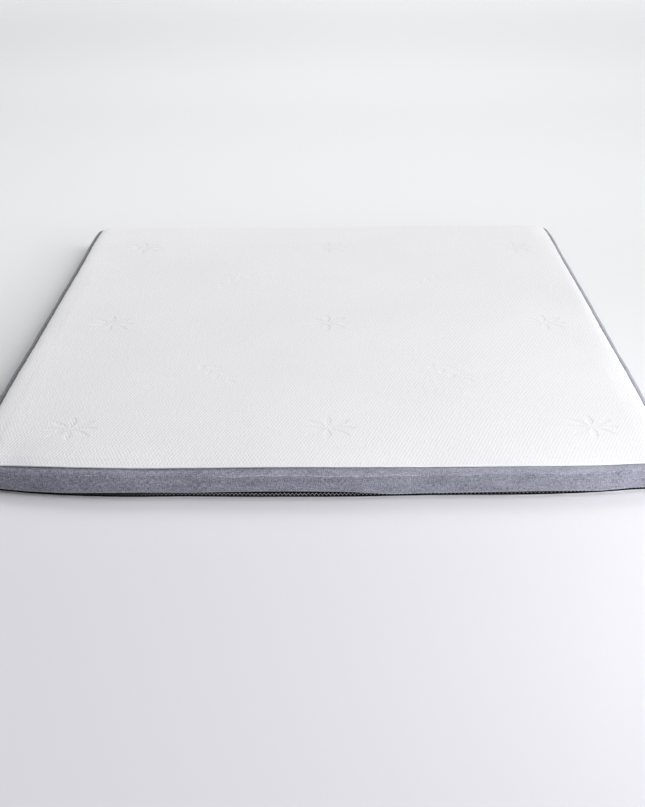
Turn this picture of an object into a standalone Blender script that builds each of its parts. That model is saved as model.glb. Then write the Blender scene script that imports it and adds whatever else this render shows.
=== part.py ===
"""A mattress topper, 1.40 x 2.00 m: a filled body under a white knitted top, a grey border strip that
bulges out under the top's rolled lip, a black zip band set back under the border's hem, and a plain
underside cloth.

+X runs across the width, +Y from the front edge to the back edge, +Z up. The origin is in the middle of the
underside. Metres.
"""

import math
from collections import namedtuple

import bmesh
import bpy
from mathutils import Vector, geometry

# Driving sizes
WIDTH = 1.400
LENGTH = 2.000
CORNER_RADIUS = 0.052
BULGE = 0.0165  # how far the border's ridge stands out from the seam under the lip
GAP = 0.0004  # air between two pieces
JOINT_GAP = 0.0004  # air between two lengths of border or zip at a corner

UNDERSIDE = 0.0020  # thickness of the underside cloth
BORDER_CLOTH = 0.0018
ZIP_TAPE = 0.0016
ZIP_TOP = 0.0175  # upper edge of the zip band, hidden behind the hem
TOP = 0.0620  # the top cloth in the middle
SOFT_FROM = ZIP_TOP + 0.0010  # below this the filling keeps its height at the corners
SOFT_TO = 0.0300  # above this all of it sinks with the seam

# Segments of a half corner and of each straight side
HALF_CORNER_STEPS = 3
SHORT_SIDE_STEPS = 16
LONG_SIDE_STEPS = 22

# How uneven the four edges lie. "along" is X on the front and back edges, and Y on the side edges.
# "inward" is how far the edge stands in from its straight line, "lower" how much lower its seam is than
# the middle of the topper, and "longer" how much further than usual the hem hangs under the seam.
Edge = namedtuple("Edge", "along inward lower longer")
FRONT_EDGE = (
    Edge(-0.700, 0.043, 0.0096, -0.0046),
    Edge(-0.625, 0.034, 0.0090, -0.0044),
    Edge(-0.560, 0.020, 0.0050, -0.0004),
    Edge(-0.480, 0.009, 0.0027, 0.0000),
    Edge(-0.380, 0.002, 0.0020, -0.0018),
    Edge(-0.250, 0.003, 0.0024, -0.0006),
    Edge(-0.168, 0.001, 0.0010, -0.0019),
    Edge(-0.090, 0.000, 0.0000, -0.0018),
    Edge(0.060, 0.000, 0.0004, -0.0004),
    Edge(0.140, 0.003, 0.0017, 0.0028),
    Edge(0.220, 0.006, 0.0028, 0.0010),
    Edge(0.380, 0.007, 0.0019, 0.0000),
    Edge(0.460, 0.011, 0.0029, -0.0010),
    Edge(0.535, 0.018, 0.0048, 0.0000),
    Edge(0.620, 0.031, 0.0066, -0.0012),
    Edge(0.700, 0.038, 0.0070, -0.0022),
)
RIGHT_EDGE = (
    Edge(-1.000, 0.016, 0.0060, -0.0022),
    Edge(-0.800, 0.004, 0.0030, 0.0008),
    Edge(-0.480, 0.001, 0.0012, -0.0010),
    Edge(-0.100, 0.001, 0.0022, 0.0012),
    Edge(0.170, 0.001, 0.0010, -0.0012),
    Edge(0.560, 0.002, 0.0022, 0.0010),
    Edge(0.820, 0.003, 0.0020, -0.0006),
    Edge(1.000, 0.005, 0.0022, -0.0012),
)
BACK_EDGE = (
    Edge(-0.700, 0.005, 0.0022, -0.0012),
    Edge(-0.520, 0.003, 0.0020, 0.0006),
    Edge(-0.240, 0.000, 0.0012, -0.0014),
    Edge(0.060, 0.002, 0.0018, 0.0012),
    Edge(0.340, 0.000, 0.0010, -0.0008),
    Edge(0.540, 0.003, 0.0018, 0.0008),
    Edge(0.700, 0.006, 0.0024, -0.0012),
)
LEFT_EDGE = (
    Edge(-1.000, 0.014, 0.0056, -0.0022),
    Edge(-0.780, 0.004, 0.0030, 0.0010),
    Edge(-0.520, 0.000, 0.0016, -0.0008),
    Edge(-0.170, 0.0015, 0.0010, -0.0014),
    Edge(0.200, 0.000, 0.0024, 0.0012),
    Edge(0.550, 0.001, 0.0014, -0.0006),
    Edge(0.820, -0.002, 0.0020, 0.0004),
    Edge(1.000, 0.000, 0.0022, -0.0012),
)
EDGE_BAND = 0.250  # how far in from an edge its unevenness has faded out

# Sections through an edge. "out" is measured from the seam under the lip, outwards.
Section = namedtuple("Section", "out height")
BORDER_MIDDLE = (  # the middle of the border cloth, from the seam down to the hem
    Section(-0.0034, 0.0566),
    Section(0.0025, 0.0563),
    Section(0.0095, 0.0543),
    Section(0.0139, 0.0510),
    Section(0.0156, 0.0470),
    Section(0.0152, 0.0380),
    Section(0.0154, 0.0240),
    Section(0.0148, 0.0135),
)
RIDGE = 4  # its row at the ridge
LIP = (  # the top cloth, from the bottom of the seam's crease over the rolled lip and inwards
    Section(-0.0050, 0.0552),
    Section(-0.0050, 0.0580),
    Section(-0.0006, 0.0583),
    Section(0.0008, 0.0596),
    Section(-0.0004, 0.0610),
    Section(-0.0036, 0.0615),
    Section(-0.0085, 0.0607),
    Section(-0.0180, 0.0612),
    Section(-0.0300, 0.0617),
)
ZIP_FACE = (  # the seen face of the zip, from its lower edge up, with the coil standing proud
    Section(0.0108, UNDERSIDE + GAP),
    Section(0.0108, 0.0076),
    Section(0.0117, 0.0084),
    Section(0.0117, 0.0106),
    Section(0.0108, 0.0114),
    Section(0.0108, ZIP_TOP),
)
ZIP_BACK = 0.0108 - ZIP_TAPE
WAIST = ZIP_BACK - GAP  # the filling behind the zip
UNDERSIDE_EDGE = 0.0100

# Low relief in the top cloth: leaves pressed into it. "angle" is turned from +X, and "start" is how far
# the leaf's root is from its place. A flower's leaves stand evenly round it, its upright ones longer. A
# sprig has one leaf at its tip and the others on both sides of its line in turn.
Leaf = namedtuple("Leaf", "along across angle start length width")
FLOWER_LEAVES = 8
SPRIG_SIDE_LEAVES = 6


def flower_leaf(number):
    angle = 360.0 * number / FLOWER_LEAVES
    return Leaf(0.0, 0.0, angle, 0.008, 0.050 + 0.010 * abs(math.sin(math.radians(angle))), 0.016)


def sprig_side_leaf(number):
    return Leaf(0.042 - 0.020 * number, 0.0, 42.0 if number % 2 == 0 else -42.0, 0.005, 0.032, 0.014)


FLOWER = [flower_leaf(number) for number in range(FLOWER_LEAVES)]
SPRIG = [Leaf(0.064, 0.0, 0.0, 0.0, 0.036, 0.015)]
SPRIG += [sprig_side_leaf(number) for number in range(SPRIG_SIDE_LEAVES)]
Place = namedtuple("Place", "x y turn")
FLOWER_PLACES = (
    Place(-0.510, -0.781, 0.0),
    Place(0.014, -0.779, 0.0),
    Place(0.552, -0.777, 0.0),
    Place(-0.525, -0.050, 0.0),
    Place(0.012, -0.050, 0.0),
    Place(0.549, -0.052, 0.0),
    Place(-0.530, 0.712, 0.0),
    Place(0.012, 0.710, 0.0),
    Place(0.556, 0.706, 0.0),
)
SPRIG_PLACES = (
    Place(-0.251, 0.325, 53.0),
    Place(0.284, 0.328, 53.0),
    Place(-0.240, -0.418, -61.0),
    Place(0.283, -0.418, -59.0),
)
LEAF_DEPTH = 0.0010
LEAF_SIDE_STEPS = 5
LEAF_VEIN = (0.28, 0.52, 0.78)  # where the pressed middle line of a leaf has its points
TOP_GRID = 0.150
CLEAR_OF_MOTIF = 0.115

Finish = namedtuple("Finish", "name colour roughness")
KNIT = Finish("white knit", (0.83, 0.83, 0.84), 0.85)
HEATHER = Finish("grey heather cloth", (0.20, 0.21, 0.26), 0.90)
ZIP_BLACK = Finish("black zip", (0.02, 0.02, 0.022), 0.55)
PLAIN_CLOTH = Finish("plain underside cloth", (0.72, 0.72, 0.72), 0.90)


def clear_scene():
    for old in list(bpy.data.objects):
        bpy.data.objects.remove(old, do_unlink=True)


def material_of(finish):
    material = bpy.data.materials.get(finish.name)
    if material:
        return material
    material = bpy.data.materials.new(finish.name)
    material.use_nodes = True
    shader = material.node_tree.nodes["Principled BSDF"]
    shader.inputs["Base Color"].default_value = (*finish.colour, 1.0)
    shader.inputs["Roughness"].default_value = finish.roughness
    shader.inputs["Metallic"].default_value = 0.0
    return material


def add_piece(name, mesh_maker, finish, collection):
    """One sub-part: mesh_maker(bm) fills its mesh, then it is named, coloured and shaded smooth."""
    bm = bmesh.new()
    mesh_maker(bm)
    bmesh.ops.recalc_face_normals(bm, faces=bm.faces)
    mesh = bpy.data.meshes.new(name)
    bm.to_mesh(mesh)
    bm.free()
    mesh.shade_smooth()
    mesh.set_sharp_from_angle(angle=math.radians(40.0))
    mesh.materials.append(material_of(finish))
    piece = bpy.data.objects.new(name, mesh)
    collection.objects.link(piece)
    return piece


# The uneven plan and height


def smooth_step(low, high, value):
    t = min(max((value - low) / (high - low), 0.0), 1.0)
    return t * t * (3.0 - 2.0 * t)


def read_edge(edge, along):
    """The edge's row at this place, on a smooth curve through its rows."""
    along = min(max(along, edge[0].along), edge[-1].along)
    index = max(i for i in range(len(edge) - 1) if edge[i].along <= along)
    before, start = edge[max(index - 1, 0)], edge[index]
    end, after = edge[index + 1], edge[min(index + 2, len(edge) - 1)]
    step = end.along - start.along
    t = (along - start.along) / step

    def hermite(column):
        values = [getattr(row, column) for row in (before, start, end, after)]
        slope_in = (values[2] - values[0]) / (end.along - before.along) * step
        slope_out = (values[3] - values[1]) / (after.along - start.along) * step
        return (
            (2 * t**3 - 3 * t**2 + 1) * values[1]
            + (t**3 - 2 * t**2 + t) * slope_in
            + (3 * t**2 - 2 * t**3) * values[2]
            + (t**3 - t**2) * slope_out
        )

    return Edge(along, hermite("inward"), hermite("lower"), hermite("longer"))


def settled(x, y, z, sinks=1.0, hangs=0.0):
    """A point of the even topper, moved to where it lies in the uneven one.

    sinks is its share of the drop of the seam, and hangs its share of the extra length of the hem.
    """
    near_front = smooth_step(EDGE_BAND - LENGTH / 2, -LENGTH / 2, y)
    near_back = smooth_step(LENGTH / 2 - EDGE_BAND, LENGTH / 2, y)
    near_left = smooth_step(EDGE_BAND - WIDTH / 2, -WIDTH / 2, x)
    near_right = smooth_step(WIDTH / 2 - EDGE_BAND, WIDTH / 2, x)
    front, back = read_edge(FRONT_EDGE, x), read_edge(BACK_EDGE, x)
    left, right = read_edge(LEFT_EDGE, y), read_edge(RIGHT_EDGE, y)
    near_sides = 1.0 - near_front - near_back

    def blended(column):
        ends = near_front * getattr(front, column) + near_back * getattr(back, column)
        sides = near_left * getattr(left, column) + near_right * getattr(right, column)
        return ends + near_sides * sides

    return Vector(
        (
            x + near_left * left.inward - near_right * right.inward,
            y + near_front * front.inward - near_back * back.inward,
            z - sinks * blended("lower") - hangs * blended("longer"),
        )
    )


def filling_sinks(z):
    return smooth_step(SOFT_FROM, SOFT_TO, z)


def border_hangs(z):
    return 1.0 - smooth_step(BORDER_MIDDLE[-1].height, BORDER_MIDDLE[RIDGE].height, z)


# Plan rings and strips

Side = namedtuple("Side", "name turns half_along half_across steps")
SIDES = (
    Side("front", 0, WIDTH / 2, LENGTH / 2, SHORT_SIDE_STEPS),
    Side("right", 1, LENGTH / 2, WIDTH / 2, LONG_SIDE_STEPS),
    Side("back", 2, WIDTH / 2, LENGTH / 2, SHORT_SIDE_STEPS),
    Side("left", 3, LENGTH / 2, WIDTH / 2, LONG_SIDE_STEPS),
)


def side_plan(side, out):
    """Plan points of one side, from the middle of one corner to the middle of the next."""
    radius = CORNER_RADIUS - BULGE + out
    centre_along = side.half_along - CORNER_RADIUS
    centre_across = side.half_across - CORNER_RADIUS
    points = []
    for step in range(HALF_CORNER_STEPS):
        angle = math.radians(225.0 + 45.0 * step / HALF_CORNER_STEPS)
        points.append((-centre_along + radius * math.cos(angle), -centre_across + radius * math.sin(angle)))
    for step in range(side.steps + 1):
        points.append((centre_along * (2.0 * step / side.steps - 1.0), -centre_across - radius))
    for step in range(1, HALF_CORNER_STEPS + 1):
        angle = math.radians(270.0 + 45.0 * step / HALF_CORNER_STEPS)
        points.append((centre_along + radius * math.cos(angle), -centre_across + radius * math.sin(angle)))
    for _ in range(side.turns):
        points = [(-y, x) for x, y in points]
    return points


def ring_plan(out):
    """Plan points right round, anticlockwise from the middle of the front left corner."""
    return [point for side in SIDES for point in side_plan(side, out)[:-1]]


def shortened(points):
    """A strip's plan with both ends drawn back by half the air between two lengths."""

    def drawn_back(end, inner):
        end, inner = Vector(end), Vector(inner)
        return tuple(end + (inner - end).normalized() * JOINT_GAP / 2)

    return [drawn_back(points[0], points[1]), *points[1:-1], drawn_back(points[-1], points[-2])]


def offset_section(section, distance):
    """A section's points moved sideways, to the right of the way the section runs."""
    moved = []
    for index, row in enumerate(section):
        before = section[max(index - 1, 0)]
        after = section[min(index + 1, len(section) - 1)]
        run = Vector((after.out - before.out, after.height - before.height)).normalized()
        moved.append(Section(row.out + run.y * distance, row.height - run.x * distance))
    return moved


def loft(bm, rows, closed_round):
    """Quads between each two rows of points; the last row joins the first one if closed_round."""
    grid = [[bm.verts.new(point) for point in row] for row in rows]
    pairs = list(zip(grid, grid[1:]))
    if closed_round:
        pairs.append((grid[-1], grid[0]))
    for first, second in pairs:
        for index in range(len(first) - 1):
            bm.faces.new((first[index], first[index + 1], second[index + 1], second[index]))
    return grid


def make_strip(bm, side, section, sinks, hangs):
    """A length of border or zip: a closed section swept along one side, with flat ends.

    hangs(height) gives what settled takes as hangs.
    """
    rows = []
    for row in section:
        plan = shortened(side_plan(side, row.out))
        rows.append([settled(x, y, row.height, sinks, hangs(row.height)) for x, y in plan])
    grid = loft(bm, rows, closed_round=True)
    bm.faces.new([row[0] for row in grid])
    bm.faces.new([row[-1] for row in grid])


def ring_points(row, sinks):
    ring = [settled(x, y, row.height, sinks) for x, y in ring_plan(row.out)]
    return ring + ring[:1]


def make_rings(bm, rows):
    """Joins closed rings, each with its first point repeated at its end, and returns their vertices."""
    grid = [[bm.verts.new(point) for point in row[:-1]] for row in rows]
    for first, second in zip(grid, grid[1:]):
        for index in range(len(first)):
            following = (index + 1) % len(first)
            bm.faces.new((first[index], first[following], second[following], second[index]))
    return grid


# The pressed leaves of the top cloth


def leaf_outline(leaf):
    """Points round a pointed leaf and along its middle, in the motif's own plan."""

    def placed(along, across):
        turn = math.radians(leaf.angle)
        reach = leaf.start + along
        return (
            leaf.along + reach * math.cos(turn) - across * math.sin(turn),
            leaf.across + reach * math.sin(turn) + across * math.cos(turn),
        )

    def half_width(share):
        return leaf.width / 2 * math.sin(math.pi * share) ** 0.8

    shares = [step / LEAF_SIDE_STEPS for step in range(1, LEAF_SIDE_STEPS)]
    near_side = [placed(leaf.length * share, -half_width(share)) for share in shares]
    far_side = [placed(leaf.length * share, half_width(share)) for share in reversed(shares)]
    outline = [placed(0.0, 0.0), *near_side, placed(leaf.length, 0.0), *far_side]
    vein = [placed(leaf.length * share, 0.0) for share in LEAF_VEIN]
    return outline, vein


def motif_places():
    """Each leaf's outline and vein on the topper, for the nine flowers and the four sprigs."""
    places = [(place, FLOWER) for place in FLOWER_PLACES]
    places += [(place, SPRIG) for place in SPRIG_PLACES]
    for place, leaves in places:
        turn = math.radians(place.turn)

        def on_topper(point):
            x, y = point
            return (
                place.x + x * math.cos(turn) - y * math.sin(turn),
                place.y + x * math.sin(turn) + y * math.cos(turn),
            )

        for leaf in leaves:
            outline, vein = leaf_outline(leaf)
            yield [on_topper(point) for point in outline], [on_topper(point) for point in vein]


def grid_points():
    """A coarse grid over the top, clear of the rim and of the motifs."""
    columns = int((WIDTH / 2 - EDGE_BAND / 2) / TOP_GRID)
    rows = int((LENGTH / 2 - EDGE_BAND / 2) / TOP_GRID)
    motifs = [(place.x, place.y) for place in FLOWER_PLACES + SPRIG_PLACES]
    for column in range(-columns, columns + 1):
        for row in range(-rows, rows + 1):
            point = (column * TOP_GRID, row * TOP_GRID)
            if all(math.dist(point, motif) > CLEAR_OF_MOTIF for motif in motifs):
                yield point


def fill_top(bm, rim, rim_plan):
    """Closes the top inside the rim with triangles that follow each leaf's outline and vein."""
    plan = list(rim_plan)
    edges = [(index, (index + 1) % len(plan)) for index in range(len(plan))]
    depths = [0.0] * len(plan)

    def add_line(points, depth, closed):
        first = len(plan)
        plan.extend(points)
        depths.extend([depth] * len(points))
        count = len(points) if closed else len(points) - 1
        edges.extend((first + i, first + (i + 1) % len(points)) for i in range(count))

    for outline, vein in motif_places():
        add_line(outline, 0.0, closed=True)
        add_line(vein, LEAF_DEPTH, closed=False)
    for point in grid_points():
        add_line([point], 0.0, closed=False)

    found, _, triangles, sources, _, _ = geometry.delaunay_2d_cdt(
        [Vector(point) for point in plan], edges, [], 1, 1e-6
    )
    verts = []
    for place, source in zip(found, sources):
        if source and source[0] < len(rim):
            verts.append(rim[source[0]])
        else:
            depth = depths[source[0]] if source else 0.0
            verts.append(bm.verts.new(settled(place.x, place.y, TOP - depth)))
    for triangle in triangles:
        bm.faces.new([verts[index] for index in triangle])


# The pieces


def make_top_panel(bm):
    """The filled body: a waist behind the zip, a wall under the border, the seam's crease, lip and top."""
    wall = offset_section(BORDER_MIDDLE, BORDER_CLOTH / 2 + GAP)
    lowest = UNDERSIDE + GAP
    shoulder = ZIP_TOP + 2 * GAP  # clears the zip's upper edge where the wall above sinks almost to it
    sections = [Section(WAIST - 0.002, lowest), Section(WAIST, lowest + 0.002), Section(WAIST, shoulder)]
    sections += [Section(row.out, row.height) for row in reversed(wall[2:-1])]
    sections += LIP
    rings = [ring_points(row, filling_sinks(row.height)) for row in sections]
    grid = make_rings(bm, rings)
    bm.faces.new(grid[0])
    fill_top(bm, grid[-1], ring_plan(LIP[-1].out))


def make_bottom_panel(bm):
    """The underside cloth, a flat sheet with a rounded edge."""
    edge = UNDERSIDE_EDGE
    sections = [
        Section(edge - 0.0008, 0.0),
        Section(edge, UNDERSIDE * 0.4),
        Section(edge - 0.0004, UNDERSIDE),
    ]
    grid = make_rings(bm, [ring_points(row, 0.0) for row in sections])
    bm.faces.new(grid[0])
    bm.faces.new(grid[-1])


def make_border(bm, side):
    outer = offset_section(BORDER_MIDDLE, -BORDER_CLOTH / 2)
    inner = offset_section(BORDER_MIDDLE, BORDER_CLOTH / 2)
    make_strip(bm, side, [*outer, *reversed(inner)], 1.0, border_hangs)


def make_zip(bm, side):
    back = [Section(ZIP_BACK, ZIP_FACE[-1].height), Section(ZIP_BACK, ZIP_FACE[0].height)]
    make_strip(bm, side, [*ZIP_FACE, *back], 0.0, lambda height: 0.0)


def main():
    clear_scene()
    topper = bpy.data.collections.new("mattress topper")
    bpy.context.scene.collection.children.link(topper)
    add_piece("top_panel", make_top_panel, KNIT, topper)
    add_piece("bottom_panel", make_bottom_panel, PLAIN_CLOTH, topper)
    for side in SIDES:
        add_piece(f"border_{side.name}", lambda bm, s=side: make_border(bm, s), HEATHER, topper)
        add_piece(f"zip_{side.name}", lambda bm, s=side: make_zip(bm, s), ZIP_BLACK, topper)


main()
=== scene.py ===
import math
import bpy
import bmesh
import numpy as np
from mathutils import Matrix, Vector


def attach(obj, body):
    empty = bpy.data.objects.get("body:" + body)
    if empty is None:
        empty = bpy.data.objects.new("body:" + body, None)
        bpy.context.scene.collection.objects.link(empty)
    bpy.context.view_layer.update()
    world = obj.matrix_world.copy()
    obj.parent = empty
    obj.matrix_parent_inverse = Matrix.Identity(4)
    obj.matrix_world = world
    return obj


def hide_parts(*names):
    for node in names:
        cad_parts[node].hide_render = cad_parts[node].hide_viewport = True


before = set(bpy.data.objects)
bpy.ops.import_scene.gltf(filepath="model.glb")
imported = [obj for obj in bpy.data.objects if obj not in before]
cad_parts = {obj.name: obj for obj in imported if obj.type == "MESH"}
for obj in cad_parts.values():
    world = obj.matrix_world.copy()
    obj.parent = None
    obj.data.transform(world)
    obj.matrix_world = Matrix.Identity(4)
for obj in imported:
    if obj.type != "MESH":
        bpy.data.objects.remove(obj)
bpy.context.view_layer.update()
print("frame loaded:", ", ".join(sorted(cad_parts)))

# The topper's own sizes, in metres. out is measured from the seam under the lip, outwards.
topper = {
    "width": 1.400,
    "length": 2.000,
    "corner": 0.052,
    "bulge": 0.0165,      # the border's ridge stands this far out from the seam
    "top": 0.0620,
    "edgeBand": 0.250,    # how far in an edge's unevenness reaches
}
halfWidth = topper["width"] / 2
halfLength = topper["length"] / 2
seamRadius = topper["corner"] - topper["bulge"]
halfArc = topper["corner"] * math.pi / 4

# How uneven the edges lie: along the edge, in from its straight line, lower seam, longer hem.
# "along" is X on the front and back edges and Y on the sides.
unevenEdges = {
    "front": (
        (-0.700, 0.043, 0.0096, -0.0046),
        (-0.625, 0.034, 0.0090, -0.0044),
        (-0.560, 0.020, 0.0050, -0.0004),
        (-0.480, 0.009, 0.0027, 0.0000),
        (-0.380, 0.002, 0.0020, -0.0026),
        (-0.250, 0.003, 0.0024, -0.0018),
        (-0.168, 0.001, 0.0010, -0.0030),
        (-0.090, 0.000, 0.0000, -0.0030),
        (0.060, 0.000, 0.0004, -0.0014),
        (0.140, 0.003, 0.0017, 0.0028),
        (0.220, 0.006, 0.0028, 0.0010),
        (0.380, 0.007, 0.0019, 0.0000),
        (0.460, 0.011, 0.0029, -0.0010),
        (0.535, 0.018, 0.0048, 0.0000),
        (0.620, 0.031, 0.0066, -0.0018),
        (0.700, 0.038, 0.0070, -0.0032),
    ),
    "right": (
        (-1.000, 0.016, 0.0060, -0.0022),
        (-0.800, 0.004, 0.0030, 0.0008),
        (-0.480, 0.001, 0.0012, -0.0010),
        (-0.100, 0.001, 0.0022, 0.0012),
        (0.170, 0.001, 0.0010, -0.0012),
        (0.560, 0.002, 0.0018, 0.0010),
        (0.820, 0.003, 0.0002, -0.0006),
        (1.000, 0.010, -0.0022, -0.0012),
    ),
    "back": (
        (-0.700, 0.003, 0.0008, -0.0012),
        (-0.520, 0.002, 0.0010, 0.0006),
        (-0.240, 0.000, 0.0012, -0.0014),
        (0.060, 0.002, 0.0010, 0.0012),
        (0.340, 0.000, -0.0012, -0.0008),
        (0.540, 0.002, -0.0030, 0.0008),
        (0.700, 0.004, -0.0030, -0.0012),
    ),
    "left": (
        (-1.000, 0.014, 0.0056, -0.0022),
        (-0.780, 0.004, 0.0030, 0.0010),
        (-0.520, 0.000, 0.0016, -0.0008),
        (-0.170, 0.0015, 0.0010, -0.0014),
        (0.200, 0.000, 0.0024, 0.0012),
        (0.550, 0.001, 0.0014, -0.0006),
        (0.820, -0.001, 0.0012, 0.0004),
        (1.000, 0.004, 0.0004, -0.0012),
    ),
}
edgeColumns = {"inward": 1, "lower": 2, "longer": 3}

# Each side: quarter turns from the front, half its own length, half the way across.
sides = {
    "front": (0, halfWidth, halfLength),
    "right": (1, halfLength, halfWidth),
    "back": (2, halfWidth, halfLength),
    "left": (3, halfLength, halfWidth),
}


def smoothStep(low, high, value):
    t = np.clip((value - low) / (high - low), 0.0, 1.0)
    return t * t * (3.0 - 2.0 * t)


def smoothCurve(at, knots, values):  # a smooth curve through the knots
    at = np.clip(at, knots[0], knots[-1])
    slopes = np.empty(len(knots))
    slopes[1:-1] = (values[2:] - values[:-2]) / (knots[2:] - knots[:-2])
    slopes[0] = (values[1] - values[0]) / (knots[1] - knots[0])
    slopes[-1] = (values[-1] - values[-2]) / (knots[-1] - knots[-2])
    i = np.clip(np.searchsorted(knots, at, side="right") - 1, 0, len(knots) - 2)
    step = knots[i + 1] - knots[i]
    t = (at - knots[i]) / step
    bend = values[i] * (2 * t**3 - 3 * t**2 + 1) + values[i + 1] * (3 * t**2 - 2 * t**3)
    return bend + step * (slopes[i] * (t**3 - 2 * t**2 + t) + slopes[i + 1] * (t**3 - t**2))


def readEdge(name, column, along):
    rows = np.array(unevenEdges[name])
    return smoothCurve(along, rows[:, 0], rows[:, edgeColumns[column]])


def settled(points, sinks=1.0, hangs=0.0):  # moves points of an even topper to their place in the uneven one
    x, y, z = points[..., 0], points[..., 1], points[..., 2]
    band = topper["edgeBand"]
    near = {
        "front": smoothStep(band - halfLength, -halfLength, y),
        "back": smoothStep(halfLength - band, halfLength, y),
        "left": smoothStep(band - halfWidth, -halfWidth, x),
        "right": smoothStep(halfWidth - band, halfWidth, x),
    }
    along = {"front": x, "back": x, "left": y, "right": y}
    share = {name: near[name] for name in ("front", "back")}
    for name in ("left", "right"):
        share[name] = near[name] * (1.0 - near["front"] - near["back"])
    lower = sum(share[name] * readEdge(name, "lower", along[name]) for name in sides)
    longer = sum(share[name] * readEdge(name, "longer", along[name]) for name in sides)
    inward = {name: near[name] * readEdge(name, "inward", along[name]) for name in sides}
    moved = np.empty(points.shape)
    moved[..., 0] = x + inward["left"] - inward["right"]
    moved[..., 1] = y + inward["front"] - inward["back"]
    moved[..., 2] = z - sinks * lower - hangs * longer
    return moved


def sideLength(side):
    return 2 * halfArc + 2 * (sides[side][1] - topper["corner"])


def sidePath(side, s):  # base points and normals; s runs from the middle of one corner to that of the next
    turns, halfAlong, halfAcross = sides[side]
    a, b = halfAlong - topper["corner"], halfAcross - topper["corner"]
    s = np.asarray(s, float)
    straight = 2 * a
    before = np.clip(s / halfArc, None, 1.0)
    after = np.clip((s - halfArc - straight) / halfArc, 0.0, None)
    angle = np.radians(225.0 + 45.0 * before + 45.0 * after)
    x = np.clip(s - halfArc, 0.0, straight) - a
    base = np.stack([x, np.full(s.shape, -b)], -1)
    normal = np.stack([np.cos(angle), np.sin(angle)], -1)
    for _ in range(turns):
        base = np.stack([-base[..., 1], base[..., 0]], -1)
        normal = np.stack([-normal[..., 1], normal[..., 0]], -1)
    return base, normal


def onSide(side, s, out, height, sinks=1.0, hangs=0.0):
    base, normal = sidePath(side, s)
    plan = base + normal * (seamRadius + np.asarray(out))[..., None]
    flat = np.concatenate([plan, np.broadcast_to(height, plan.shape[:-1])[..., None]], -1)
    return settled(flat, sinks, hangs)


def sideSteps(side, spacing, cornerSteps):
    straight = sideLength(side) - 2 * halfArc
    corner = np.linspace(0.0, halfArc, cornerSteps + 1)
    middle = np.linspace(halfArc, halfArc + straight, int(round(straight / spacing)) + 1)
    return np.concatenate([corner[:-1], middle, corner[1:] + halfArc + straight])


def outward(side, s):  # level directions out of a side
    _, normal = sidePath(side, s)
    return np.concatenate([normal, 0 * normal[:, :1]], -1)


def ripple(at, waves, seed):  # a sum of sines: each wave is (wavelength, height)
    rng = np.random.default_rng(seed)
    return sum(height * np.sin(2 * np.pi * at / length + rng.uniform(0, 6.28)) for length, height in waves)


def sectionCurve(section, steps):  # a smooth curve through the section's points, with its normals and lengths
    section = np.array(section)
    knots = np.concatenate([[0.0], np.cumsum(np.hypot(*np.diff(section, axis=0).T))])
    at = np.linspace(0.0, knots[-1], steps)
    middle = np.stack([smoothCurve(at, knots, section[:, 0]), smoothCurve(at, knots, section[:, 1])], -1)
    run = np.gradient(middle, axis=0)
    run /= np.linalg.norm(run, axis=1)[:, None]
    return middle, np.stack([-run[:, 1], run[:, 0]], -1), at


def makePiece(name, points, faces, finish, attributes=None):
    mesh = bpy.data.meshes.new(name)
    mesh.from_pydata(np.asarray(points).tolist(), [], faces)
    for key, values in (attributes or {}).items():
        values = np.asarray(values, np.float32)
        vector = values.ndim == 2
        made = mesh.attributes.new(key, "FLOAT_VECTOR" if vector else "FLOAT", "POINT")
        made.data.foreach_set("vector" if vector else "value", values.ravel())
    bm = bmesh.new()
    bm.from_mesh(mesh)
    bmesh.ops.recalc_face_normals(bm, faces=bm.faces)
    bm.to_mesh(mesh)
    bm.free()
    mesh.shade_smooth()
    mesh.materials.append(finish)
    piece = bpy.data.objects.new(name, mesh)
    bpy.context.scene.collection.objects.link(piece)
    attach(piece, "root")
    return piece


def gridFaces(rows, columns, start=0, closedRows=False, closedColumns=False):
    lastRow = rows if closedRows else rows - 1
    lastColumn = columns if closedColumns else columns - 1
    r, c = np.meshgrid(np.arange(lastRow), np.arange(lastColumn), indexing="ij")
    r2, c2 = (r + 1) % rows, (c + 1) % columns
    quads = np.stack([r * columns + c, r * columns + c2, r2 * columns + c2, r2 * columns + c], -1)
    return (quads.reshape(-1, 4) + start).tolist()


def stripFaces(rows, columns):  # rows in a closed loop, and a face over each end
    ends = [[r * columns + end for r in range(rows)] for end in (0, columns - 1)]
    return gridFaces(rows, columns, closedRows=True) + ends


# Shader maths: a wire can be added, multiplied and so on as a number is.
class Wire:
    def __init__(self, maker, socket):
        self.maker = maker
        self.socket = socket

    def __add__(self, other):
        return self.maker.maths("ADD", self, other)

    def __sub__(self, other):
        return self.maker.maths("SUBTRACT", self, other)

    def __rsub__(self, other):
        return self.maker.maths("SUBTRACT", other, self)

    def __mul__(self, other):
        return self.maker.maths("MULTIPLY", self, other)

    def __truediv__(self, other):
        return self.maker.maths("DIVIDE", self, other)

    def __pow__(self, other):
        return self.maker.maths("POWER", self, other)

    __radd__ = __add__
    __rmul__ = __mul__


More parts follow.
